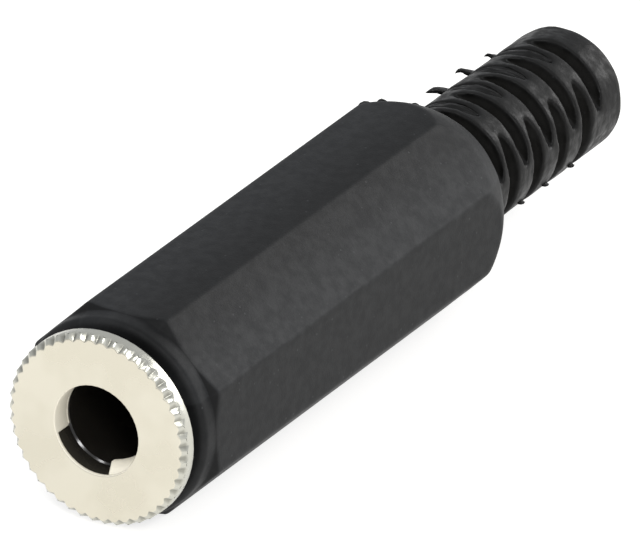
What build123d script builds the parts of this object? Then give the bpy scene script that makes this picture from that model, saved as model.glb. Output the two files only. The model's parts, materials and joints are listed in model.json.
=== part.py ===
"""In-line 3.5 mm stereo jack socket with a screw-on octagonal housing.

Millimetres. X runs along the plug axis from the front face (x = 0) to the tail,
Z is up, and the housing lies on one of its flats.
"""
from build123d import *
import math
import os

# Plug hole
PLUG_BORE_RADIUS = 1.8
MOUTH_CHAMFER = 0.04            # broken edge of the mouth
LIP_DEPTH = 0.9                 # metal wall round the mouth, from the front face

# Insulator
NOSE_WALL = 0.62                # tube pressed into the bushing
NOSE_CLEARANCE = 0.02
BORE_LEAD_IN = 0.15
BORE_GUIDE = 1.25               # plain bore past the bushing, before the contact chamber
CHAMBER_RELIEF = 0.25           # how much wider the chamber is than the plug bore
PLUG_DEPTH = 14.8               # front face to the stop at the chamber's end
KEY_FRONT = 0.15                # the key fills a notch in the metal lip
KEY_START_ANGLE = -111          # about X, from +Y
KEY_SPAN = 92

# Front bushing
SHANK_WALL = 0.46
SHANK_LENGTH = 5.3
SHANK_END_CHAMFER = 0.2
FLANGE_INSET = 0.17             # how far the rim lies inside the housing's flats
FLANGE_THICKNESS = 0.7
FLANGE_CHAMFER_RADIAL = 0.2
FLANGE_CHAMFER_AXIAL = 0.18
FLANGE_BACK_CHAMFER = 0.06
SERRATION_COUNT = 46
SERRATION_INSET = 0.31          # how far inside the rim a notch starts on the front face
SERRATION_RUN = 0.33            # how far back along the rim a notch runs out
SERRATION_ANGLE = 130           # included angle of a notch

# Terminal plate
CORE_CLEARANCE = 0.1            # insulator and plate, inside the thread's radius
PLATE_THICKNESS = 1.2
SPIGOT_LENGTH = 0.7
SPIGOT_CLEARANCE = 0.05

# Contact strips
STRIP_THICKNESS = 0.25
STRIP_WIDTH = 1.4
STRIP_CLEARANCE = 0.05
STRIP_BEND = 0.45               # bend radius, on the centre line
WINDOW_SETBACK = 0.3            # chamber's front to the windows in its wall
TAG_INSET = 0.45                # straight runs and tags, inside the core's radius
TAG_LENGTH = 4.6                # past the terminal plate
TAG_HOLE_RADIUS = 0.4
TAG_HOLE_INSET = 0.9
RING_CONTACT_AT = 9.0           # from the front face, set by the plug
RING_REACH = 0.35               # how far the strip's middle stands into the plug bore
RING_TOE = (0.8, 0.5)           # free end past the contact: along and away from the axis
TIP_CONTACT_AT = 12.7
TIP_REACH = 0.65
TIP_TOE = (0.9, 0.6)
HAIRPIN_RADIUS = 0.34

# Sleeve lug and cable clamp
LUG_INSET = 0.2                 # strip along the insulator, inside the core's radius
LUG_WIDTH = 1.6
LUG_RUN = 0.6                   # straight run past the terminal plate
CLAMP_GAP = 2.5                 # terminal plate to clamp
CLAMP_LENGTH = 3.4
CLAMP_RADIUS = 1.3              # inside
CLAMP_EAR = 0.9                 # how far the ears stand past the axis

# Housing
SIDES = 8
THREAD_CLEARANCE = 0.05
THREAD_RELIEF = 0.6             # thread past the end of the shank
HOUSING_WALL = 1.05             # outside the thread, at the middle of a flat
CORNER_ROUND = 0.2              # radius along the edges of the octagon
COLLAR_GROOVE = 0.5             # groove between the flange and the collar
COLLAR_LIP_WALL = 0.35          # lip in that groove, which meets the flange
COLLAR_STEP = 0.02              # how far the round collar lies inside the flats
COLLAR_LENGTH = 0.75
CORNER_CHAMFER = 0.25           # length over which the octagon's corners rise from the collar
COLLAR_EDGE = 0.15
CAVITY_RELIEF = 0.25            # how much wider the cavity is than the thread
CAVITY_ROOM = 0.4               # past the end of the tags
CAVITY_TAPER = 2.1              # length of the cone from the cavity to the cable hole
SHOULDER_LENGTH = 2.75
SHOULDER_STEP = 0.35            # how far the shoulder's end stands above the guard
SHOULDER_BULGE = 6.0            # radius of the shoulder's arc

# Cable guard
CABLE_HOLE_RADIUS = 1.8
GUARD_WALL = 0.75
GUARD_TAPER = 0.04              # loss of radius from root to tip
GUARD_EDGE = 0.15
GUARD_LENGTH = 9.85
POCKET_COUNT = 5
POCKET_WIDTH = 0.66
POCKET_DEPTH = 1.0
POCKET_TIP = 0.95               # length over which an end of a pocket narrows to a point
FIRST_POCKET = 0.8              # shoulder to the middle of the first pocket
END_RING = 1.45                 # plain ring past the last pocket
SIDE_SLOT_WIDTH = 0.66
SIDE_SLOT_TIP = 1.3             # length over which a side slot narrows to a point
RIB_WIDTH = 0.9                 # rib left between the points of a pair of side slots
GUARD_TURN = 124                # direction that the pockets face, about X from +Y

# Radii that follow, from the plug bore outwards
NOSE_RADIUS = PLUG_BORE_RADIUS + NOSE_WALL
COUNTERBORE_RADIUS = NOSE_RADIUS + NOSE_CLEARANCE
SHANK_RADIUS = COUNTERBORE_RADIUS + SHANK_WALL
CORE_RADIUS = SHANK_RADIUS - CORE_CLEARANCE
CHAMBER_RADIUS = PLUG_BORE_RADIUS + CHAMBER_RELIEF
THREAD_BORE_RADIUS = SHANK_RADIUS + THREAD_CLEARANCE
CAVITY_RADIUS = THREAD_BORE_RADIUS + CAVITY_RELIEF
FLAT_RADIUS = THREAD_BORE_RADIUS + HOUSING_WALL
CORNER_RADIUS = FLAT_RADIUS / math.cos(math.pi / SIDES)
COLLAR_RADIUS = FLAT_RADIUS - COLLAR_STEP
COLLAR_LIP_RADIUS = THREAD_BORE_RADIUS + COLLAR_LIP_WALL
FLANGE_RADIUS = FLAT_RADIUS - FLANGE_INSET
GUARD_ROOT_RADIUS = CABLE_HOLE_RADIUS + GUARD_WALL
GUARD_TIP_RADIUS = GUARD_ROOT_RADIUS - GUARD_TAPER
SHOULDER_END_RADIUS = GUARD_ROOT_RADIUS + SHOULDER_STEP
TAG_OFFSET = CORE_RADIUS - TAG_INSET
LUG_OFFSET = CORE_RADIUS - LUG_INSET

# Places along X that follow, from the front face back
COLLAR_FRONT = FLANGE_THICKNESS + COLLAR_GROOVE
COLLAR_END = COLLAR_FRONT + COLLAR_LENGTH
SHANK_END = FLANGE_THICKNESS + SHANK_LENGTH
THREAD_END = SHANK_END + THREAD_RELIEF
BODY_FRONT = SHANK_END + STRIP_THICKNESS
CHAMBER_START = BODY_FRONT + BORE_GUIDE
WINDOW_FRONT = CHAMBER_START + WINDOW_SETBACK
CHAMBER_END = PLUG_DEPTH + SPIGOT_LENGTH
PLATE_END = CHAMBER_END + PLATE_THICKNESS
TAG_END = PLATE_END + TAG_LENGTH
CLAMP_START = PLATE_END + CLAMP_GAP
CLAMP_END = CLAMP_START + CLAMP_LENGTH
CAVITY_END = TAG_END + CAVITY_ROOM
CABLE_HOLE_START = CAVITY_END + CAVITY_TAPER
SHOULDER_END = CAVITY_END + SHOULDER_LENGTH
GUARD_END = SHOULDER_END + GUARD_LENGTH
FIRST_POCKET_AT = SHOULDER_END + FIRST_POCKET
LAST_POCKET_AT = GUARD_END - END_RING - POCKET_WIDTH / 2
POCKET_PITCH = (LAST_POCKET_AT - FIRST_POCKET_AT) / (POCKET_COUNT - 1)
FAR = 4 * FLAT_RADIUS           # reach of a cutting tool past the part


def turned(*points):
    """Solid of revolution about X from (x, radius) points."""
    outline = Polyline(*points, close=True)
    return revolve(make_face(outline), Axis.X)


def tube(x_start, x_end, outer, inner):
    """Plain tube along X."""
    return turned((x_start, inner), (x_start, outer), (x_end, outer), (x_end, inner))


def rod(x_start, x_end, radius):
    """Plain rod along X."""
    return turned((x_start, 0), (x_start, radius), (x_end, radius), (x_end, 0))


def block(x_range, y_range, z_range):
    """Rectangular block between the given limits."""
    size = [high - low for low, high in (x_range, y_range, z_range)]
    centre = [(high + low) / 2 for low, high in (x_range, y_range, z_range)]
    return Pos(*centre) * Box(*size)


def key_sector(inner, outer, margin):
    """Sector of the lip that the insulator key fills, grown by a margin in angle."""
    profile = Polyline(
        (KEY_FRONT, inner),
        (KEY_FRONT, outer),
        (LIP_DEPTH, outer),
        (LIP_DEPTH, inner),
        close=True,
    )
    sector = revolve(make_face(profile), Axis.X, revolution_arc=KEY_SPAN + 2 * margin)
    return Rot(X=KEY_START_ANGLE - margin) * sector


def serration():
    """One V notch, from the front face out to the rim, at the top of the flange."""
    start = Vector(0, 0, FLANGE_RADIUS - SERRATION_INSET)
    end = Vector(SERRATION_RUN, 0, FLANGE_RADIUS)
    plane = Plane(origin=start, x_dir=(0, 1, 0), z_dir=end - start)
    height = SERRATION_INSET
    half_width = height * math.tan(math.radians(SERRATION_ANGLE / 2))
    outline = make_face(Polyline((0, 0), (half_width, height), (-half_width, height), close=True))
    return extrude(plane * outline, amount=2 * SERRATION_RUN, both=True)


def make_front_bushing():
    """Turned front with the serrated flange, the plug mouth and the threaded shank."""
    body = turned(
        (0, PLUG_BORE_RADIUS + MOUTH_CHAMFER),
        (0, FLANGE_RADIUS - FLANGE_CHAMFER_RADIAL),
        (FLANGE_CHAMFER_AXIAL, FLANGE_RADIUS),
        (FLANGE_THICKNESS - FLANGE_BACK_CHAMFER, FLANGE_RADIUS),
        (FLANGE_THICKNESS, FLANGE_RADIUS - FLANGE_BACK_CHAMFER),
        (FLANGE_THICKNESS, SHANK_RADIUS),
        (SHANK_END - SHANK_END_CHAMFER, SHANK_RADIUS),
        (SHANK_END, SHANK_RADIUS - SHANK_END_CHAMFER),
        (SHANK_END, COUNTERBORE_RADIUS),
        (LIP_DEPTH, COUNTERBORE_RADIUS),
        (LIP_DEPTH, PLUG_BORE_RADIUS),
        (MOUTH_CHAMFER, PLUG_BORE_RADIUS),
    )
    margin = math.degrees(NOSE_CLEARANCE / NOSE_RADIUS)
    body -= key_sector(PLUG_BORE_RADIUS / 2, COUNTERBORE_RADIUS, margin)
    notch = serration()
    step = 360 / SERRATION_COUNT
    return body - [Rot(X=index * step) * notch for index in range(SERRATION_COUNT)]


def strip_slot(width, x_range, offset):
    """Slot for a strip, from the given distance off the axis outwards, on the +Z side."""
    half = width / 2 + STRIP_CLEARANCE
    return block(x_range, (-half, half), (offset, FAR))


def lug_slot(x_range):
    """Groove for the sleeve lug on the -Y side."""
    floor = LUG_OFFSET - STRIP_THICKNESS / 2 - STRIP_CLEARANCE
    return Rot(X=90) * strip_slot(LUG_WIDTH, x_range, floor)


def make_insulator():
    """Black moulding with the plug bore, the contact chamber and a window for each spring."""
    nose = tube(LIP_DEPTH, BODY_FRONT, NOSE_RADIUS, PLUG_BORE_RADIUS)
    barrel = tube(BODY_FRONT, CHAMBER_END, CORE_RADIUS, PLUG_BORE_RADIUS)
    lead_in = turned(
        (LIP_DEPTH, 0),
        (LIP_DEPTH, PLUG_BORE_RADIUS + BORE_LEAD_IN),
        (LIP_DEPTH + BORE_LEAD_IN, PLUG_BORE_RADIUS),
        (LIP_DEPTH + BORE_LEAD_IN, 0),
    )
    window = strip_slot(STRIP_WIDTH, (WINDOW_FRONT, CHAMBER_END), 0)
    body = nose + barrel - lead_in
    body += key_sector(PLUG_BORE_RADIUS, NOSE_RADIUS, 0)
    body -= rod(CHAMBER_START, CHAMBER_END, CHAMBER_RADIUS)
    body -= [window, Rot(X=180) * window]
    return body - lug_slot((BODY_FRONT, CHAMBER_END))


def make_terminal_plate():
    """Plate with a spigot that closes the contact chamber and carries the tags."""
    plate = rod(CHAMBER_END, PLATE_END, CORE_RADIUS)
    plate += rod(PLUG_DEPTH, CHAMBER_END, CHAMBER_RADIUS - SPIGOT_CLEARANCE)
    half_width = STRIP_WIDTH / 2 + STRIP_CLEARANCE
    half_height = STRIP_THICKNESS / 2 + STRIP_CLEARANCE
    tag_slot = block(
        (PLUG_DEPTH, PLATE_END),
        (-half_width, half_width),
        (TAG_OFFSET - half_height, TAG_OFFSET + half_height),
    )
    plate -= [tag_slot, Rot(X=180) * tag_slot]
    return plate - lug_slot((CHAMBER_END, PLATE_END))


def strip_along(path, width):
    """Sheet strip of the common thickness that follows a path drawn in the XZ plane."""
    start = Plane(origin=path @ 0, x_dir=(0, 1, 0), z_dir=path % 0)
    return sweep(start * Rectangle(width, STRIP_THICKNESS), path=path)


def solder_tag(strip):
    """Pierces the wire hole in the tail of a strip and rounds its corners."""
    drill = Cylinder(TAG_HOLE_RADIUS, 4 * STRIP_THICKNESS)
    hole = Pos(TAG_END - TAG_HOLE_INSET, 0, TAG_OFFSET) * drill
    corners = strip.edges().filter_by(Axis.Z).group_by(Axis.X)[-1]
    return fillet(corners, STRIP_WIDTH / 3) - hole


def make_ring_contact():
    """Leaf spring above the bore, anchored in the terminal plate."""
    contact = PLUG_BORE_RADIUS - RING_REACH
    toe_length, toe_rise = RING_TOE
    path = FilletPolyline(
        (TAG_END, 0, TAG_OFFSET),
        (PLUG_DEPTH, 0, TAG_OFFSET),
        (RING_CONTACT_AT, 0, contact),
        (RING_CONTACT_AT - toe_length, 0, contact + toe_rise),
        radius=STRIP_BEND,
    )
    return solder_tag(strip_along(path, STRIP_WIDTH))


def make_tip_contact():
    """Hairpin spring below the bore: its free arm turns back towards the tip of the plug."""
    contact = PLUG_BORE_RADIUS - TIP_REACH
    toe_length, toe_rise = TIP_TOE
    bend_at = WINDOW_FRONT + STRIP_CLEARANCE + STRIP_THICKNESS / 2 + HAIRPIN_RADIUS
    bend_top = TAG_OFFSET - 2 * HAIRPIN_RADIUS
    run = Line((TAG_END, 0, TAG_OFFSET), (bend_at, 0, TAG_OFFSET))
    bend = ThreePointArc(
        (bend_at, 0, TAG_OFFSET),
        (bend_at - HAIRPIN_RADIUS, 0, TAG_OFFSET - HAIRPIN_RADIUS),
        (bend_at, 0, bend_top),
    )
    arm = FilletPolyline(
        (bend_at, 0, bend_top),
        (bend_at + 2 * HAIRPIN_RADIUS, 0, bend_top),
        (TIP_CONTACT_AT, 0, contact),
        (TIP_CONTACT_AT + toe_length, 0, contact + toe_rise),
        radius=STRIP_BEND,
    )
    path = Wire(run.edges() + bend.edges() + arm.edges())
    return Rot(X=180) * solder_tag(strip_along(path, STRIP_WIDTH))


def make_sleeve_lug():
    """Washer behind the bushing, a strip along the insulator and a U-shaped cable clamp."""
    washer = tube(SHANK_END, BODY_FRONT, CORE_RADIUS, COUNTERBORE_RADIUS)
    clamp_floor = CLAMP_RADIUS + STRIP_THICKNESS / 2
    path = FilletPolyline(
        (SHANK_END, 0, LUG_OFFSET),
        (PLATE_END + LUG_RUN, 0, LUG_OFFSET),
        (CLAMP_START - STRIP_BEND, 0, clamp_floor),
        (CLAMP_START + STRIP_BEND, 0, clamp_floor),
        radius=STRIP_BEND,
    )
    strip = Rot(X=90) * strip_along(path, LUG_WIDTH)
    clamp_outer = CLAMP_RADIUS + STRIP_THICKNESS
    clamp_span = (CLAMP_START, CLAMP_END)
    clamp = rod(*clamp_span, clamp_outer)
    clamp -= block(clamp_span, (0, FAR), (-FAR, FAR))
    clamp += block(clamp_span, (0, CLAMP_EAR), (-clamp_outer, clamp_outer))
    clamp -= rod(*clamp_span, CLAMP_RADIUS)
    clamp -= block(clamp_span, (0, FAR), (-CLAMP_RADIUS, CLAMP_RADIUS))
    return washer + strip + clamp


def shoulder_limit():
    """Solid of revolution that breaks the octagon's front corners and rounds it off to the guard."""
    front = Polyline(
        (SHOULDER_END, SHOULDER_END_RADIUS),
        (SHOULDER_END, 0),
        (COLLAR_END, 0),
        (COLLAR_END, COLLAR_RADIUS),
        (COLLAR_END + CORNER_CHAMFER, CORNER_RADIUS),
        (CAVITY_END, CORNER_RADIUS),
    )
    arc = RadiusArc(front @ 1, front @ 0, SHOULDER_BULGE)
    return revolve(make_face(front.edges() + arc.edges()), Axis.X)


def pointed_slot(width, tip_at, tip_length):
    """Plan of one end of a slot, in (x, across): parallel sides from the axis to a rounded point."""
    side = width / 2
    root = tip_at - tip_length
    outline = Polyline((-side, root), (-side, 0), (side, 0), (side, root))
    right = TangentArc((side, root), (0, tip_at), tangent=(0, 1))
    left = TangentArc((-side, root), (0, tip_at), tangent=(0, 1))
    return make_face(outline.edges() + right.edges() + left.edges())


def guard_cuts():
    """Pockets and side slots that let the cable guard bend, in alternate rows."""
    pocket_floor = GUARD_ROOT_RADIUS - POCKET_DEPTH
    pocket_reach = math.sqrt(GUARD_ROOT_RADIUS**2 - pocket_floor**2)
    pocket_end = pointed_slot(POCKET_WIDTH, pocket_reach, POCKET_TIP)
    pocket_plan = Plane.XZ.offset(-FAR) * (pocket_end + mirror(pocket_end, Plane.XZ))
    pocket = extrude(pocket_plan, amount=FAR - pocket_floor)
    slot_length = GUARD_ROOT_RADIUS - RIB_WIDTH / 2
    slot_end = mirror(pointed_slot(SIDE_SLOT_WIDTH, slot_length, SIDE_SLOT_TIP), Plane.XZ)
    slot_plan = Plane.XZ * Pos(0, GUARD_ROOT_RADIUS) * slot_end
    side_slot = extrude(slot_plan, amount=FAR, both=True)
    cuts = []
    for index in range(POCKET_COUNT):
        cut = Pos(FIRST_POCKET_AT + index * POCKET_PITCH) * pocket
        cuts += [cut, Rot(X=180) * cut]
    for index in range(POCKET_COUNT - 1):
        cut = Pos(FIRST_POCKET_AT + (index + 0.5) * POCKET_PITCH) * side_slot
        cuts += [cut, Rot(X=180) * cut]
    return [Rot(X=GUARD_TURN) * cut for cut in cuts]


def make_housing():
    """Octagonal shell, collar, shoulder and slotted cable guard in one moulding."""
    octagon = RegularPolygon(FLAT_RADIUS, SIDES, major_radius=False, rotation=180 / SIDES)
    octagon = fillet(octagon.vertices(), CORNER_ROUND)
    shell = extrude(Plane.YZ.offset(COLLAR_END) * octagon, amount=SHOULDER_END - COLLAR_END)
    shell &= shoulder_limit()
    shell += turned(
        (FLANGE_THICKNESS, 0),
        (FLANGE_THICKNESS, COLLAR_LIP_RADIUS),
        (COLLAR_FRONT, COLLAR_LIP_RADIUS),
        (COLLAR_FRONT, COLLAR_RADIUS - COLLAR_EDGE),
        (COLLAR_FRONT + COLLAR_EDGE, COLLAR_RADIUS),
        (COLLAR_END, COLLAR_RADIUS),
        (COLLAR_END, 0),
    )
    guard = turned(
        (SHOULDER_END, 0),
        (SHOULDER_END, GUARD_ROOT_RADIUS),
        (GUARD_END - GUARD_EDGE, GUARD_TIP_RADIUS),
        (GUARD_END, GUARD_TIP_RADIUS - GUARD_EDGE),
        (GUARD_END, 0),
    )
    guard -= guard_cuts()
    inside = turned(
        (FLANGE_THICKNESS, 0),
        (FLANGE_THICKNESS, THREAD_BORE_RADIUS),
        (THREAD_END, THREAD_BORE_RADIUS),
        (THREAD_END, CAVITY_RADIUS),
        (CAVITY_END, CAVITY_RADIUS),
        (CABLE_HOLE_START, CABLE_HOLE_RADIUS),
        (GUARD_END, CABLE_HOLE_RADIUS),
        (GUARD_END, 0),
    )
    return shell + guard - inside


NODES = {
    "housing": make_housing,
    "front_bushing": make_front_bushing,
    "insulator": make_insulator,
    "terminal_plate": make_terminal_plate,
    "ring_contact": make_ring_contact,
    "tip_contact": make_tip_contact,
    "sleeve_lug": make_sleeve_lug,
}

os.makedirs("parts", exist_ok=True)
for name, make in NODES.items():
    export_step(make(), f"parts/{name}.step")
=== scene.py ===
"""Looks of an in-line 3.5 mm stereo jack socket: finishes, worn edges, threads, flash, light and camera."""

import json
import math

import bpy
from mathutils import Matrix, Vector, noise as rough_noise


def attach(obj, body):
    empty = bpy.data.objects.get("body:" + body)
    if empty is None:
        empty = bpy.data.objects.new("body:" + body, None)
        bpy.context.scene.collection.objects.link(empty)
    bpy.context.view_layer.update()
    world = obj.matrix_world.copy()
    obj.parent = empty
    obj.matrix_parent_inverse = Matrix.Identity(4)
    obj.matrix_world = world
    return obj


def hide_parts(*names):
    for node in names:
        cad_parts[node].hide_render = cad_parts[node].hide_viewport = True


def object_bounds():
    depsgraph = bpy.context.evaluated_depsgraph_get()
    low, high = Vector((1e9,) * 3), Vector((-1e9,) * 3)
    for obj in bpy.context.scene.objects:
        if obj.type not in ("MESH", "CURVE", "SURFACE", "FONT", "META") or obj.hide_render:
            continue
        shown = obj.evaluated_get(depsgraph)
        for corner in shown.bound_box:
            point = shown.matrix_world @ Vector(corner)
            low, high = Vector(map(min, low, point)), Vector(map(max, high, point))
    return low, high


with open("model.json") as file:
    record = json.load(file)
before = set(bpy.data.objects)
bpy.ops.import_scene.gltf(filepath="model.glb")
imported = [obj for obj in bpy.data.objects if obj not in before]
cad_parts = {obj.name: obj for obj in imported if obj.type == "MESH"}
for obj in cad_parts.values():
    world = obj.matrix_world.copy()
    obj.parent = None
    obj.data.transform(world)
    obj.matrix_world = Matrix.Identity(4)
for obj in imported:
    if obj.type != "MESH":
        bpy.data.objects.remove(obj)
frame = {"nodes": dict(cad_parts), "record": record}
cad_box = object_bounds()

MM = 0.001

# Camera, in the photograph's frame of 640 by 549 pixels
IMAGE_SIZE = (640, 549)
VIEW_AZIMUTH = math.radians(-59.15)
VIEW_ELEVATION = math.radians(26.0)
VIEW_DISTANCE = 0.9
VIEW_CLIP = (0.01, 20)                  # nearest and farthest distance that shows
FACE_SCALE = 27170                      # pixels for each metre at the front face
FACE_PIXEL = (95.9, 430.9)              # where the centre of the front face lands

# Stage
FLOOR_SIZE = 6.0
FLOOR_GAP = 0.00002
FLOOR_COLOUR = (0.5, 0.49, 0.47, 1)
FLOOR_ROUGHNESS = 0.9
FLOOR_GLOW = 0.74
SKY_COLOUR = (0.69, 0.705, 0.73, 1)
WHITE = (1, 1, 1, 1)

# Soft lights: azimuth and elevation in degrees, distance and size in metres, radiance, colour
LIGHTS = {
    "side_light": (60, 23, 0.5, 0.24, 6.8, (1, 0.99, 0.98)),
    "front_light": (-50, 34, 0.5, 0.105, 19.0, (1, 1, 1)),
    "top_light": (-108, 56, 0.5, 0.07, 25.0, (1, 1, 1)),
    "low_light": (50, 6, 0.5, 0.14, 0.9, (1, 1, 1)),
}

# Places on the part, in millimetres along the axis or out from it
# A fade is the stretch over which one look gives way to another
GUARD_START = 24.4
GUARD_FADE = 0.3                        # to each side
RING_RADII = (2.2, 2.45)                # from the floors of the guard's slots to its outside
FLATS = 8
FLAT_HALF_WIDTH = 1.657
FLATS_END = 21.5
FLATS_FADE = 1.0                        # to each side
COLLAR_END = 1.95
COLLAR_RADIUS = 3.98
COLLAR_FADE = 0.03
FACET_SLOPE = 0.25 / 0.35               # of the octagon's corners behind the collar
FACET_FADE = (0.01, 0.05)
LIP_DEPTH = 1.05
LIP_RADIUS = 1.815
LIP_FADE = (0.1, 0.02)                  # along and out
RIM_INNER = 3.2
RIM_OUTER = 3.83
RIM_FADE = 0.1
RIM_START = (0.01, 0.05)
RIM_CHAMFER = (0.18, 0.2)               # along and out
NOTCH_DEPTH = 0.12                      # of the serrations, under the rim's chamfer
NOSE_FRONT = 0.15                       # of the insulator

# Finish of the housing: linear colours, noise scales for each millimetre, and the ranges a noise is read over
BODY_COLOURS = ((0.008, 0.0084, 0.009, 1), (0.012, 0.0124, 0.013, 1))
# painted light: the first colour makes the floors of the guard's slots paler; the second is the rings' own
# colour
SLOT_LIGHT_AND_RING_COLOURS = ((0.014, 0.0136, 0.0125, 1), (0.004, 0.0039, 0.0036, 1))     # in the slots and on the rings
# painted shade: near-black colour on the corner facets behind the collar
FACET_SHADE_COLOUR = (0.0025, 0.0026, 0.0028, 1)
WORN_COLOUR = (0.03, 0.031, 0.032, 1)   # of specks and worn edges
MOTTLE_SCALE = 2.2
MOTTLE_RANGE = (0.3, 0.7)
BODY_ROUGHNESS = (0.62, 0.56)
BODY_ROUGHNESS_RANGE = (0.25, 0.75)
GRAIN_SCALE = 13
GRAIN_BUMP = (0.012, 0.4)               # depth in millimetres and strength
HOUSING_SPECULAR = 0.2
WEAR = 0.15                             # strength on the edges
WEAR_START = 0.88                       # share of a flat's half width
WEAR_WAVER = 0.2
WEAR_SCALE = 1.6
SPECK_SCALE = 3.6
SPECK_FADE = (0.1, 0.2)                 # distances from the middle of a cell
SPECK_CHOICE = (0.75, 0.98)             # draws over which a cell's speck grows from none to full
LUMPS_SCALE = 3.2
LUMPS_STRETCH = (1, 0.6, 0.6)
LUMPS_RANGE = (0.35, 0.7)
LUMPS_POLISH = -0.24                    # change of roughness on the guard's lumps
LUMPS_HEIGHT = 4                        # times the grain's

# Painted shade and light on the body, standing in for how light falls across its flats: degrees about X from
# +Y, and factors on the body's colour
SHADED_EDGE = 112.5
SHADED_EDGE_WAVER = 7
SHADED_EDGE_SCALE = 1.5
SHADING_REACH = 42                      # to each side of the edge
SHADING_STOP = (44, 46)
PAINTED_SHADES = (0.42, 1.48)           # on the edge and at the reach
PLAIN_SHADE = 0.82                      # on the other flats

# Finish of the insulator
NOSE_COLOURS = ((0.011, 0.01, 0.0085, 1), (0.016, 0.0145, 0.012, 1))
# painted light: paler colour at the front of the nose, where light falls into the mouth
NOSE_FRONT_LIGHT_COLOUR = (0.034, 0.031, 0.025, 1)
NOSE_CLOUD_SCALE = 2.5
NOSE_ROUGHNESS = (0.14, 0.22)
NOSE_WAVE_SCALE = 6
NOSE_BUMP = (0.004, 0.3)

# Finish of the turned front
PLATE_COLOURS = ((0.645, 0.61, 0.505, 1), (0.69, 0.655, 0.55, 1))
# the rim's own colour, and a painted shade that darkens the notches of the serrations
RIM_AND_NOTCH_SHADE_COLOURS = ((0.53, 0.525, 0.465, 1), (0.31, 0.305, 0.265, 1))    # on the rim and in its notches
# painted light: pale colour on the mouth's wall, standing in for light scattered inside the mouth
MOUTH_LIGHT_COLOUR = (0.86, 0.81, 0.68, 1)
STAIN_SCALE = 0.45
STAIN_RANGE = (0.35, 0.65)
PLATE_ROUGHNESS = (0.26, 0.32)
MOUTH_ROUGHNESS = 0.4                   # more than the plate's
TURNING_SCALE = 18
TURNING_STRETCH = 0.6                   # of the turning marks along the axis
TURNING_BUMP = (0.002, 0.1)

# Finish of the contacts
STRIP_COLOURS = ((0.7, 0.62, 0.46, 1), (0.76, 0.7, 0.57, 1))
STRIP_CLOUD_SCALE = 1.1
STRIP_ROUGHNESS = (0.22, 0.34)
STRIP_WAVE_SCALE = 9
STRIP_BUMP = (0.002, 0.15)
CLOUD_RANGE = (0.3, 0.7)

# Worn edges of the housing, in millimetres
HOUSING_VOXEL = 0.06
HOUSING_SMOOTHING = (0.5, 18)           # strength and rounds
HOUSING_KEPT = 0.15                     # share of the triangles that is kept
SHELL_LUMPS = 0.012                     # height of the unevenness of the moulding
GUARD_LUMPS = 0.035
LUMP_SIZE = 0.75

# Rounded edges of the turned front, in millimetres and degrees
FRONT_WELD = 0.02
FRONT_FLATNESS = 1                      # faces that meet within this angle become one
FRONT_SHARPNESS = 35                    # edges above this angle are rounded
FRONT_ROUND = 0.025
FRONT_SEGMENTS = 2

# Thread between the front bushing and the housing, in millimetres
THREAD_PITCH = 0.5
THREAD_STEPS = 48                       # sections for each turn
THREAD_FADE = 0.5                       # turns over which an end runs out
THREAD_HALF_WIDTHS = (0.2, 0.05)        # at the root and at the crest
MALE_THREAD = {"start": 1.2, "end": 5.75, "root": 2.88, "crest": 2.94, "phase": 0.0}
FEMALE_THREAD = {"start": 0.95, "end": 6.45, "root": 2.97, "crest": 2.91, "phase": 0.5}

# Inner edge of the metal lip, which closes the lead-in of the moulding beside its key, in millimetres
LINER_PROFILE = ((0.89, 1.805), (0.89, 1.93), (0.91, 1.93), (1.035, 1.805))
LINER_ARC = (-17, 247)                  # degrees about X from +Y
LINER_STEPS = 88

# Bright tongue of the sleeve contact in the mouth, in millimetres
TONGUE_ARC = (-136, -105)               # degrees about X from +Y
TONGUE_STEPS = 16
TONGUE_CRESTS = ((0.9, 1.62), (0.5, 1.42))     # (along, out) of the crest at each end of the arc
TONGUE_FLAT = 0.2                       # length of the crest
TONGUE_RUN = (0.12, 1.7)                # where it leaves the wall and comes back
TONGUE_SEAT = (1.8, 1.84)               # inner and outer radius of its foot

# Moulding flash on the guard: spines of (along, out) in millimetres, with their widths
PARTING_ANGLE = 35                      # degrees about X from +Y
WHISKERS = (                            # how wide, and the spine
    (1.2, ((28.95, 2.42), (28.78, 2.6), (28.62, 2.75), (28.46, 2.85), (28.28, 2.9),
           (28.1, 2.95), (27.95, 2.99))),
    (1.0, ((30.86, 2.42), (30.68, 2.6), (30.54, 2.75), (30.46, 2.86), (30.35, 2.91),
           (30.2, 2.93), (30.04, 2.92))),
    (0.9, ((32.58, 2.38), (32.43, 2.52), (32.35, 2.61), (32.31, 2.69), (32.26, 2.75),
           (32.16, 2.78), (32.02, 2.8))),
)
WHISKER_WIDTHS = (0.42, 0.38, 0.32, 0.25, 0.18, 0.1, 0.015)
WHISKER_THICKNESS = 0.16
STUBS = (
    ((27.3, 2.44), (27.36, 2.55), (27.42, 2.62), (27.46, 2.66)),
    ((29.1, 2.44), (29.16, 2.55), (29.22, 2.62), (29.26, 2.66)),
    ((31.0, 2.44), (31.06, 2.54), (31.13, 2.61), (31.18, 2.64)),
)
STUB_WIDTHS = (0.5, 0.36, 0.2, 0.05)
STUB_THICKNESS = 0.09

# Crumbs of flash on the shoulder: degrees about X from +Y, and a spine as above
CRUMBS = (
    (66, ((21.7, 4.2), (21.95, 4.26), (22.2, 4.22), (22.4, 4.14), (22.6, 4.0))),
    (72, ((22.35, 4.03), (22.55, 4.1), (22.7, 4.06), (22.85, 3.97), (23.0, 3.85))),
    (88, ((23.0, 3.76), (23.15, 3.79), (23.3, 3.72), (23.45, 3.62), (23.6, 3.48))),
)
CRUMB_WIDTHS = (0.02, 0.1, 0.12, 0.1, 0.02)
CRUMB_THICKNESS = 0.22

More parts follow.
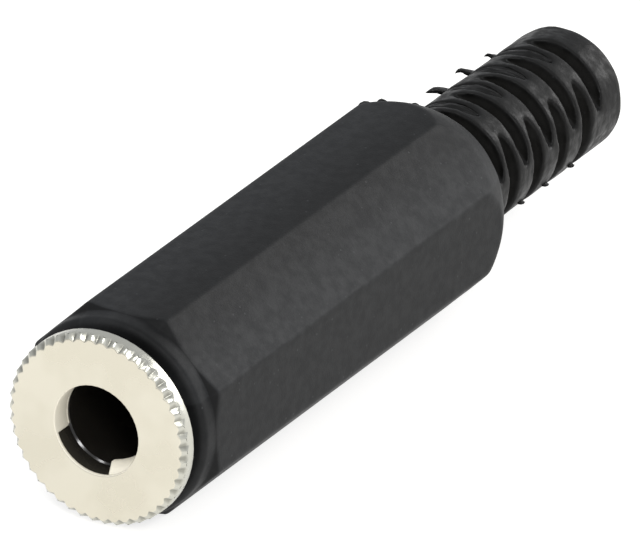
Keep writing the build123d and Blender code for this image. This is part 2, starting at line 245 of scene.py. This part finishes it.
# Films of flash that close the guard's upper slots, in millimetres
FILM_PLACES = (26.16, 27.98, 29.8, 31.61)
FILM_MIDDLE = 34                        # degrees about X from +Y
FILM_REACH = 77                         # degrees to each side
FILM_STEPS = 78
FILM_RADIUS = 2.5
FILM_DISH = 0.14                        # how far a film drops towards the walls of its slot
FILM_COLUMNS = 7                        # to each side of the middle
FILM_THICKNESS = 0.06
FILM_BITE = 0.04                        # how far a film runs into the walls of its slot
FILM_WRINKLES = (9, 2.2)                # noise scale along and around
FILM_HEIGHTS = (0.06, 0.04)             # of the wrinkles and of the finer ones on them
FILM_FINER = 2.3                        # scale of the finer wrinkles, times the others'
SLOT_HALF_WIDTH = 0.33
SLOT_TIP = (0.45, 1.75)                 # distances from the middle plane where a slot ends and is full


def add_node(tree, kind, inputs=None, **settings):
    """Adds a shader node; an input is given either a value or the socket that feeds it."""
    node = tree.nodes.new(kind)
    for name, value in settings.items():
        setattr(node, name, value)
    for name, value in (inputs or {}).items():
        if isinstance(value, bpy.types.NodeSocket):
            tree.links.new(value, node.inputs[name])
        else:
            node.inputs[name].default_value = value
    return node


def maths(tree, operation, first, second=0.0, third=0.0):
    """Result of a sum on sockets or numbers."""
    node = add_node(tree, "ShaderNodeMath", {0: first, 1: second, 2: third}, operation=operation)
    return node.outputs[0]


def remap(tree, value, low, high, to_low, to_high):
    """Takes a value from one range to another, smoothly and without leaving it."""
    inputs = {"Value": value, 1: low, 2: high, 3: to_low, 4: to_high}
    return add_node(tree, "ShaderNodeMapRange", inputs, interpolation_type="SMOOTHSTEP").outputs[0]


def rising(tree, value, low, high):
    """Mask that goes from 0 to 1 as a value rises."""
    return remap(tree, value, low, high, 0, 1)


def falling(tree, value, low, high):
    """Mask that goes from 1 to 0 as a value rises."""
    return remap(tree, value, low, high, 1, 0)


def blend_colours(tree, factor, first, second):
    """Colour between two others."""
    node = add_node(tree, "ShaderNodeMix", {0: factor, 6: first, 7: second}, data_type="RGBA")
    return node.outputs[2]


def scaled(tree, vector, factor):
    """Vector or colour times a factor."""
    node = add_node(tree, "ShaderNodeVectorMath", {0: vector, "Scale": factor}, operation="SCALE")
    return node.outputs[0]


def place_mm(tree):
    """Place on the part in millimetres, in the frame's axes."""
    return scaled(tree, add_node(tree, "ShaderNodeTexCoord").outputs["Object"], 1 / MM)


def along_and_out(tree, place):
    """Distance along the plug axis and distance from it, in millimetres."""
    parts = add_node(tree, "ShaderNodeSeparateXYZ", {0: place})
    across = add_node(tree, "ShaderNodeCombineXYZ", {1: parts.outputs[1], 2: parts.outputs[2]})
    out = add_node(tree, "ShaderNodeVectorMath", {0: across.outputs[0]}, operation="LENGTH")
    return parts.outputs[0], out.outputs["Value"]


def turn_about_axis(tree, place):
    """Angle about X from +Y, in radians."""
    parts = add_node(tree, "ShaderNodeSeparateXYZ", {0: place})
    return maths(tree, "ARCTAN2", parts.outputs[2], parts.outputs[1])


def noise(tree, place, scale, detail=3.0, roughness=0.6):
    """Cloudy noise from 0 to 1."""
    inputs = {"Vector": place, "Scale": scale, "Detail": detail, "Roughness": roughness}
    return add_node(tree, "ShaderNodeTexNoise", inputs).outputs["Fac"]


def bump(tree, height, depth_mm, strength):
    """Normal of a surface with a fine relief."""
    inputs = {"Height": height, "Distance": depth_mm * MM, "Strength": strength}
    return add_node(tree, "ShaderNodeBump", inputs).outputs[0]


def new_material(name):
    """Empty material; returns it with its node tree and its shader."""
    material = bpy.data.materials.new(name)
    material.use_nodes = True
    tree = material.node_tree
    return material, tree, tree.nodes["Principled BSDF"]


def connect(tree, shader, **sockets):
    """Feeds the shader's inputs."""
    names = {"colour": "Base Color", "roughness": "Roughness", "metallic": "Metallic", "normal": "Normal"}
    for name, socket in sockets.items():
        tree.links.new(socket, shader.inputs[names[name]])


def painted_flat_shading(tree, place, turn):
    """Painted shade and light on the body: darkest along one edge between flats, painted lighter over the
    flats beside it and a little darker on the rest.
    """
    waver = math.radians(SHADED_EDGE_WAVER)
    wavy = maths(tree, "MULTIPLY_ADD", noise(tree, place, SHADED_EDGE_SCALE), waver, turn)
    edge = math.radians(SHADED_EDGE + SHADED_EDGE_WAVER / 2)
    from_edge = maths(tree, "ABSOLUTE", maths(tree, "SUBTRACT", wavy, edge))
    shade = remap(tree, from_edge, 0, math.radians(SHADING_REACH), *PAINTED_SHADES)
    beside = falling(tree, from_edge, *(math.radians(angle) for angle in SHADING_STOP))
    return add_node(tree, "ShaderNodeMix", {0: beside, 2: PLAIN_SHADE, 3: shade}).outputs[0]


def across_flat(tree, turn, out):
    """Distance from the middle of the flat that a point lies on, in millimetres, with its sign."""
    step = math.tau / FLATS
    within = maths(tree, "FLOORED_MODULO", maths(tree, "ADD", turn, step / 2), step)
    return maths(tree, "MULTIPLY", maths(tree, "SINE", maths(tree, "SUBTRACT", within, step / 2)), out)


def on_worn_edges(tree, place, along, out, turn):
    """Mask of the edges between the flats, with an uneven border."""
    aside = maths(tree, "DIVIDE", across_flat(tree, turn, out), FLAT_HALF_WIDTH)
    uneven = maths(tree, "SUBTRACT", noise(tree, place, WEAR_SCALE), 0.5)
    edge = maths(tree, "MULTIPLY_ADD", uneven, WEAR_WAVER, maths(tree, "ABSOLUTE", aside))
    on_flats = falling(tree, along, FLATS_END - FLATS_FADE, FLATS_END + FLATS_FADE)
    return maths(tree, "MULTIPLY", rising(tree, edge, WEAR_START, 1), on_flats)


def on_facets(tree, along, out):
    """Mask of the facets where the octagon's corners rise from the collar, which get a painted shade."""
    past = maths(tree, "MULTIPLY_ADD", out, -FACET_SLOPE, along)
    level = COLLAR_END - COLLAR_RADIUS * FACET_SLOPE
    behind = rising(tree, along, COLLAR_END - COLLAR_FADE, COLLAR_END)
    return maths(tree, "MULTIPLY", falling(tree, past, *(level + fade for fade in FACET_FADE)), behind)


def in_notches(tree, along, out):
    """How deep a point lies in the serrations, from 0 on the rim to 1 at the bottom of a notch."""
    length, height = RIM_CHAMFER
    front = maths(tree, "MULTIPLY_ADD", along, height / length, RIM_OUTER - height)
    depth = maths(tree, "SUBTRACT", maths(tree, "MINIMUM", front, RIM_OUTER), out)
    return rising(tree, depth, 0, NOTCH_DEPTH)


def specks(tree, place):
    """Sparse bright specks, about a tenth of a millimetre across."""
    cells = add_node(tree, "ShaderNodeTexVoronoi", {"Vector": place, "Scale": SPECK_SCALE})
    draw = add_node(tree, "ShaderNodeSeparateXYZ", {0: cells.outputs["Color"]}).outputs[0]
    near = falling(tree, cells.outputs["Distance"], *SPECK_FADE)
    return maths(tree, "MULTIPLY", near, rising(tree, draw, *SPECK_CHOICE))


def guard_lumps(tree, place):
    """Noise drawn out a little around the guard."""
    stretched = add_node(tree, "ShaderNodeVectorMath", {0: place, 1: LUMPS_STRETCH}, operation="MULTIPLY")
    return noise(tree, stretched.outputs[0], LUMPS_SCALE, roughness=0.55)


def housing_material():
    """Matte black moulding: mottled, finely grained, worn on its edges and glossier on its cable guard, with
    painted shade and light across its flats, painted shade on the facets behind its collar and painted light
    in the guard's slots.
    """
    material, tree, shader = new_material("housing_plastic_look")
    place = place_mm(tree)
    along, out = along_and_out(tree, place)
    turn = turn_about_axis(tree, place)
    on_guard = rising(tree, along, GUARD_START - GUARD_FADE, GUARD_START + GUARD_FADE)
    mottle = noise(tree, place, MOTTLE_SCALE, detail=4)
    lumps = guard_lumps(tree, place)

    body = blend_colours(tree, rising(tree, mottle, *MOTTLE_RANGE), *BODY_COLOURS)
    # painted shade and light across the flats, by angle about the axis
    flat_shaded_body = scaled(tree, body, painted_flat_shading(tree, place, turn))
    # painted shade on the corner facets behind the collar
    shell = blend_colours(tree, on_facets(tree, along, out), flat_shaded_body, FACET_SHADE_COLOUR)
    # painted light in the guard's slots, the rings' own colour outside them
    guard = blend_colours(tree, rising(tree, out, *RING_RADII), *SLOT_LIGHT_AND_RING_COLOURS)
    plain = blend_colours(tree, on_guard, shell, guard)
    wear = maths(tree, "MULTIPLY", on_worn_edges(tree, place, along, out, turn), WEAR)
    colour = blend_colours(tree, maths(tree, "MAXIMUM", specks(tree, place), wear), plain, WORN_COLOUR)

    matte = remap(tree, mottle, *BODY_ROUGHNESS_RANGE, *BODY_ROUGHNESS)
    polish = remap(tree, lumps, *LUMPS_RANGE, 0, LUMPS_POLISH)
    roughness = maths(tree, "MULTIPLY_ADD", on_guard, polish, matte)
    grain = noise(tree, place, GRAIN_SCALE, detail=2)
    height = maths(tree, "MULTIPLY_ADD", maths(tree, "MULTIPLY", on_guard, LUMPS_HEIGHT), lumps, grain)
    connect(tree, shader, colour=colour, roughness=roughness, normal=bump(tree, height, *GRAIN_BUMP))
    shader.inputs["Specular IOR Level"].default_value = HOUSING_SPECULAR
    return material


def insulator_material():
    """Glossy black moulding, painted a little paler at the front of its nose as light falling into the mouth.
    """
    material, tree, shader = new_material("insulator_plastic_look")
    place = place_mm(tree)
    along, _ = along_and_out(tree, place)
    cloud = noise(tree, place, NOSE_CLOUD_SCALE)
    black = blend_colours(tree, cloud, *NOSE_COLOURS)
    # painted light at the front of the nose
    colour = blend_colours(tree, falling(tree, along, NOSE_FRONT, LIP_DEPTH), black, NOSE_FRONT_LIGHT_COLOUR)
    roughness = remap(tree, cloud, *CLOUD_RANGE, *NOSE_ROUGHNESS)
    waves = noise(tree, place, NOSE_WAVE_SCALE)
    connect(tree, shader, colour=colour, roughness=roughness, normal=bump(tree, waves, *NOSE_BUMP))
    return material


def nickel_material():
    """Satin nickel plate with turning marks and painted shade in its notches; the wall of the mouth is pale
    and dull, a painted light that stands in for light scattered inside the mouth.
    """
    material, tree, shader = new_material("nickel_look")
    place = place_mm(tree)
    along, out = along_and_out(tree, place)
    stain = noise(tree, place, STAIN_SCALE, detail=2)
    fade_along, fade_out = LIP_FADE
    in_mouth = maths(tree, "MULTIPLY", falling(tree, out, LIP_RADIUS, LIP_RADIUS + fade_out),
                     falling(tree, along, LIP_DEPTH, LIP_DEPTH + fade_along))
    on_rim = maths(tree, "MULTIPLY", rising(tree, along, *RIM_START),
                   rising(tree, out, RIM_INNER, RIM_INNER + RIM_FADE))

    plate = blend_colours(tree, rising(tree, stain, *STAIN_RANGE), *PLATE_COLOURS)
    # painted shade in the notches
    rim = blend_colours(tree, in_notches(tree, along, out), *RIM_AND_NOTCH_SHADE_COLOURS)
    outside = blend_colours(tree, on_rim, plate, rim)
    # painted light on the mouth's wall, which is also made dull and not metallic
    colour = blend_colours(tree, in_mouth, outside, MOUTH_LIGHT_COLOUR)

    satin = remap(tree, stain, *CLOUD_RANGE, *PLATE_ROUGHNESS)
    roughness = maths(tree, "MULTIPLY_ADD", in_mouth, MOUTH_ROUGHNESS, satin)
    metallic = falling(tree, in_mouth, 0, 1)
    drawn_out = maths(tree, "MULTIPLY", along, TURNING_STRETCH)
    rings = add_node(tree, "ShaderNodeCombineXYZ", {0: out, 1: drawn_out})
    marks = noise(tree, rings.outputs[0], TURNING_SCALE, detail=2)
    connect(tree, shader, colour=colour, roughness=roughness, metallic=metallic,
            normal=bump(tree, marks, *TURNING_BUMP))
    return material


def contact_material():
    """Tinned brass strip."""
    material, tree, shader = new_material("contact_metal_look")
    place = place_mm(tree)
    cloud = noise(tree, place, STRIP_CLOUD_SCALE)
    colour = blend_colours(tree, rising(tree, cloud, *CLOUD_RANGE), *STRIP_COLOURS)
    roughness = remap(tree, cloud, *CLOUD_RANGE, *STRIP_ROUGHNESS)
    waves = noise(tree, place, STRIP_WAVE_SCALE)
    connect(tree, shader, colour=colour, roughness=roughness, normal=bump(tree, waves, *STRIP_BUMP))
    shader.inputs["Metallic"].default_value = 1
    return material


FINISHES = {
    "housing_plastic": housing_material(),
    "insulator_plastic": insulator_material(),
    "nickel": nickel_material(),
    "contact_metal": contact_material(),
}


def give_finish(mesh, slot):
    """Makes the finish of a slot a mesh's only material."""
    mesh.materials.clear()
    mesh.materials.append(FINISHES[slot])


def dress_nodes():
    """Gives every CAD node the finish of its slot."""
    for part in frame["record"]["subparts"]:
        give_finish(frame["nodes"][part["node"]].data, part["material_slot"])


def add_piece(name, mesh, body, slot):
    """New piece that rides on a body and takes the finish of a slot."""
    give_finish(mesh, slot)
    piece = bpy.data.objects.new(name, mesh)
    bpy.context.scene.collection.objects.link(piece)
    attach(piece, body)
    return piece


def add_steps(piece, *steps):
    """Gives a piece a row of modifiers."""
    for kind, settings in steps:
        step = piece.modifiers.new(kind.lower(), kind)
        for name, value in settings.items():
            setattr(step, name, value)


def shaped(mesh, *steps):
    """New mesh, as a row of modifiers leaves the given one."""
    helper = bpy.data.objects.new("helper", mesh)
    bpy.context.scene.collection.objects.link(helper)
    add_steps(helper, *steps)
    result = bpy.data.meshes.new_from_object(helper.evaluated_get(bpy.context.evaluated_depsgraph_get()))
    bpy.data.objects.remove(helper)
    return result


def stand_for(node, name, mesh, body, slot):
    """New piece that stands for a CAD node."""
    piece = add_piece(name, mesh, body, slot)
    add_steps(piece, ("WEIGHTED_NORMAL", {"keep_sharp": False}))
    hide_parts(node)


def add_housing():
    """Housing with worn, slightly uneven edges, made from the CAD solid, within whose box it stays."""
    strength, rounds = HOUSING_SMOOTHING
    mesh = frame["nodes"]["housing"].data.copy()
    mesh.transform(Matrix.Scale(1 / MM, 4))     # voxels this small work in millimetres only
    mesh = shaped(
        mesh,
        ("REMESH", {"mode": "VOXEL", "voxel_size": HOUSING_VOXEL}),
        ("SMOOTH", {"factor": strength, "iterations": rounds}),
        ("DECIMATE", {"ratio": HOUSING_KEPT}),
    )
    normals = [vertex.normal.copy() for vertex in mesh.vertices]
    for vertex, normal in zip(mesh.vertices, normals):
        lumps = GUARD_LUMPS if vertex.co.x > GUARD_START else SHELL_LUMPS
        vertex.co += normal * lumps * rough_noise.noise(vertex.co / LUMP_SIZE)
    mesh.transform(Matrix.Scale(MM, 4))
    for vertex in mesh.vertices:
        vertex.co = [min(max(value, low), high) for value, low, high in zip(vertex.co, *cad_box)]
    mesh.shade_smooth()
    stand_for("housing", "housing_moulding", mesh, "cover", "housing_plastic")


def add_front():
    """Turned front with slightly rounded edges, made from the CAD solid."""
    mesh = shaped(
        frame["nodes"]["front_bushing"].data.copy(),
        ("WELD", {"merge_threshold": FRONT_WELD * MM}),
        ("DECIMATE", {"decimate_type": "DISSOLVE", "angle_limit": math.radians(FRONT_FLATNESS)}),
        ("BEVEL", {"width": FRONT_ROUND * MM, "segments": FRONT_SEGMENTS, "limit_method": "ANGLE",
                   "angle_limit": math.radians(FRONT_SHARPNESS), "use_clamp_overlap": False}),
    )
    stand_for("front_bushing", "front_turning", mesh, "contact_set", "nickel")


def on_axis(along, out, angle):
    """Point in metres at a distance along the plug axis, a distance from it and an angle about it."""
    return Vector((along, out * math.cos(angle), out * math.sin(angle))) * MM


def add_loft(name, sections, body, slot):
    """New piece: a closed solid through a row of sections with the same number of points."""
    size = len(sections[0])
    points = [point for section in sections for point in section]
    faces = [tuple(range(size))]
    for row in range(len(sections) - 1):
        here, there = row * size, (row + 1) * size
        for column in range(size):
            following = (column + 1) % size
            faces.append((here + column, there + column, there + following, here + following))
    last = len(points) - size
    faces.append(tuple(reversed(range(last, len(points)))))
    mesh = bpy.data.meshes.new(name)
    mesh.from_pydata(points, [], faces)
    mesh.shade_smooth()
    add_piece(name, mesh, body, slot)


def add_thread(name, body, slot, start, end, root, crest, phase):
    """Right-handed helical ridge that runs out at both ends."""
    foot, tip = THREAD_HALF_WIDTHS
    turns = (end - start) / THREAD_PITCH
    sections = []
    for index in range(round(turns * THREAD_STEPS) + 1):
        turn = index / THREAD_STEPS
        height = min(1, turn / THREAD_FADE, (turns - turn) / THREAD_FADE)
        top = root + (crest - root) * max(height, 0)
        along = start + turn * THREAD_PITCH
        angle = math.tau * (turn + phase)
        profile = ((-foot, root), (-tip, top), (tip, top), (foot, root))
        section = [on_axis(along + offset, out, angle) for offset, out in profile]
        sections.append(section if crest > root else section[::-1])
    add_loft(name, sections, body, slot)


def add_liner():
    """Thin metal edge at the bottom of the mouth's wall."""
    first, last = LINER_ARC
    sections = []
    for step in range(LINER_STEPS + 1):
        angle = math.radians(first + (last - first) * step / LINER_STEPS)
        sections.append([on_axis(along, out, angle) for along, out in LINER_PROFILE])
    add_loft("mouth_liner", sections, "contact_set", "nickel")


def add_tongue():
    """Bent metal tongue that stands into the mouth beside the moulding's key."""
    (first, last), (start, end), (inner, outer) = TONGUE_ARC, TONGUE_RUN, TONGUE_SEAT
    low, high = (Vector(crest) for crest in TONGUE_CRESTS)
    sections = []
    for step in range(TONGUE_STEPS + 1):
        share = step / TONGUE_STEPS
        angle = math.radians(first + (last - first) * share)
        along, out = low.lerp(high, share)
        foot = ((start, inner), (start, outer), (end, outer), (end, inner))
        crest = ((along + TONGUE_FLAT, out), (along, out))
        sections.append([on_axis(*point, angle) for point in foot + crest])
    add_loft("sleeve_tongue", sections, "contact_set", "nickel")


def add_flash(name, spine, widths, thickness, angle):
    """Thin sliver of moulding flash that stands off the housing along a bent spine."""
    path = [on_axis(along, out, angle) for along, out in spine]
    across = Vector((0, -math.sin(angle), math.cos(angle)))
    sections = []
    for index, (point, width) in enumerate(zip(path, widths)):
        ahead = path[min(index + 1, len(path) - 1)] - path[max(index - 1, 0)]
        side = ahead.cross(across).normalized() * width / 2 * MM
        thick = across * min(thickness, 2 * width) / 2 * MM
        sections.append([point + side, point + thick, point - side, point - thick])
    add_loft(name, sections, "cover", "housing_plastic")


def slot_half_width(depth):
    """Half width of a guard slot at a distance from the guard's middle plane."""
    tip, full = SLOT_TIP
    share = min(max((depth - tip) / (full - tip), 0), 1)
    return SLOT_HALF_WIDTH * (1 - (1 - share) ** 2)


def film_wrinkle(along, angle, middle):
    """How far a film stands out or in at a place on it, in millimetres."""
    scale_along, scale_around = FILM_WRINKLES
    broad, fine = FILM_HEIGHTS
    spot = Vector((along * scale_along, angle * scale_around, middle))
    return broad * rough_noise.noise(spot) + fine * rough_noise.noise(spot * FILM_FINER)


def add_film(name, middle):
    """Uneven film of flash across one of the guard's upper slots."""
    sections = []
    for step in range(FILM_STEPS + 1):
        aside = math.radians(FILM_REACH) * (2 * step / FILM_STEPS - 1)
        angle = math.radians(FILM_MIDDLE) + aside
        reach = slot_half_width(FILM_RADIUS * math.cos(aside)) + FILM_BITE
        outer = []
        inner = []
        for column in range(-FILM_COLUMNS, FILM_COLUMNS + 1):
            share = column / FILM_COLUMNS
            along = middle + reach * share
            out = FILM_RADIUS - FILM_DISH * share ** 2 + film_wrinkle(along, angle, middle)
            outer.append(on_axis(along, out, angle))
            inner.append(on_axis(along, out - FILM_THICKNESS, angle))
        sections.append(outer + inner[::-1])
    add_loft(name, sections, "cover", "housing_plastic")


def add_moulding_flash():
    """Films in the upper slots, whiskers above the parting plane, stubs below it, and crumbs."""
    for index, middle in enumerate(FILM_PLACES):
        add_film(f"flash_film_{index + 1}", middle)
    upper = math.radians(PARTING_ANGLE)
    for index, (gauge, spine) in enumerate(WHISKERS):
        widths = [gauge * width for width in WHISKER_WIDTHS]
        add_flash(f"flash_whisker_{index + 1}", spine, widths, WHISKER_THICKNESS, upper)
    for index, spine in enumerate(STUBS):
        add_flash(f"flash_stub_{index + 1}", spine, STUB_WIDTHS, STUB_THICKNESS, upper + math.pi)
    for index, (angle, spine) in enumerate(CRUMBS):
        add_flash(f"flash_crumb_{index + 1}", spine, CRUMB_WIDTHS, CRUMB_THICKNESS, math.radians(angle))


def direction(azimuth, elevation):
    """Unit vector from the part towards an azimuth, from -Y towards +X, and an elevation."""
    flat = math.cos(elevation)
    return Vector((math.sin(azimuth) * flat, -math.cos(azimuth) * flat, math.sin(elevation)))


def add_camera():
    """Long lens at the photograph's angle, aimed so that the front face lands on its pixel."""
    width, height = IMAGE_SIZE
    back = direction(VIEW_AZIMUTH, VIEW_ELEVATION)
    right = Vector((math.cos(VIEW_AZIMUTH), math.sin(VIEW_AZIMUTH), 0))
    up = back.cross(right)
    across = (width / 2 - FACE_PIXEL[0]) / FACE_SCALE
    down = (height / 2 - FACE_PIXEL[1]) / FACE_SCALE
    aim = right * across - up * down
    data = bpy.data.cameras.new("camera")
    data.sensor_fit = "HORIZONTAL"
    data.angle = 2 * math.atan(width / 2 / (FACE_SCALE * VIEW_DISTANCE))
    data.clip_start, data.clip_end = VIEW_CLIP
    camera = bpy.data.objects.new("camera", data)
    camera.location = aim + back * VIEW_DISTANCE
    camera.rotation_euler = back.to_track_quat("Z", "Y").to_euler()
    bpy.context.scene.collection.objects.link(camera)
    bpy.context.scene.camera = camera


def add_floor():
    """Plain pale floor just under the housing, with a glow that keeps its shadows faint."""
    half = FLOOR_SIZE / 2
    level = cad_box[0].z - FLOOR_GAP
    corners = [(-half, -half, level), (half, -half, level), (half, half, level), (-half, half, level)]
    mesh = bpy.data.meshes.new("floor")
    mesh.from_pydata(corners, [], [(0, 1, 2, 3)])
    material, _, shader = new_material("floor_look")
    shader.inputs["Base Color"].default_value = FLOOR_COLOUR
    shader.inputs["Roughness"].default_value = FLOOR_ROUGHNESS
    shader.inputs["Specular IOR Level"].default_value = 0
    shader.inputs["Emission Color"].default_value = WHITE
    shader.inputs["Emission Strength"].default_value = FLOOR_GLOW
    mesh.materials.append(material)
    floor = bpy.data.objects.new("floor", mesh)
    bpy.context.scene.collection.objects.link(floor)


def add_softbox(name, azimuth, elevation, distance, size, radiance, colour):
    """Square soft light that faces the middle of the socket from the given direction."""
    back = direction(math.radians(azimuth), math.radians(elevation))
    data = bpy.data.lights.new(name, "AREA")
    data.shape = "SQUARE"
    data.size = size
    data.energy = radiance * math.pi * size * size
    data.color = colour
    light = bpy.data.objects.new(name, data)
    light.location = (cad_box[0] + cad_box[1]) / 2 + back * distance
    light.rotation_euler = back.to_track_quat("Z", "Y").to_euler()
    light.visible_camera = False
    bpy.context.scene.collection.objects.link(light)


def add_world():
    """White backdrop for the camera, and a dimmer, slightly blue fill for everything else."""
    world = bpy.data.worlds.new("studio")
    bpy.context.scene.world = world
    world.use_nodes = True
    tree = world.node_tree
    path = add_node(tree, "ShaderNodeLightPath")
    seen = blend_colours(tree, path.outputs["Is Camera Ray"], SKY_COLOUR, WHITE)
    tree.links.new(seen, tree.nodes["Background"].inputs["Color"])


dress_nodes()
add_housing()
add_front()
add_thread("shank_thread", "contact_set", "nickel", **MALE_THREAD)
add_thread("housing_thread", "cover", "housing_plastic", **FEMALE_THREAD)
add_liner()
add_tongue()
add_moulding_flash()
add_floor()
add_world()
for name, settings in LIGHTS.items():
    add_softbox(name, *settings)
add_camera()
bpy.context.scene.view_settings.view_transform = "Standard"
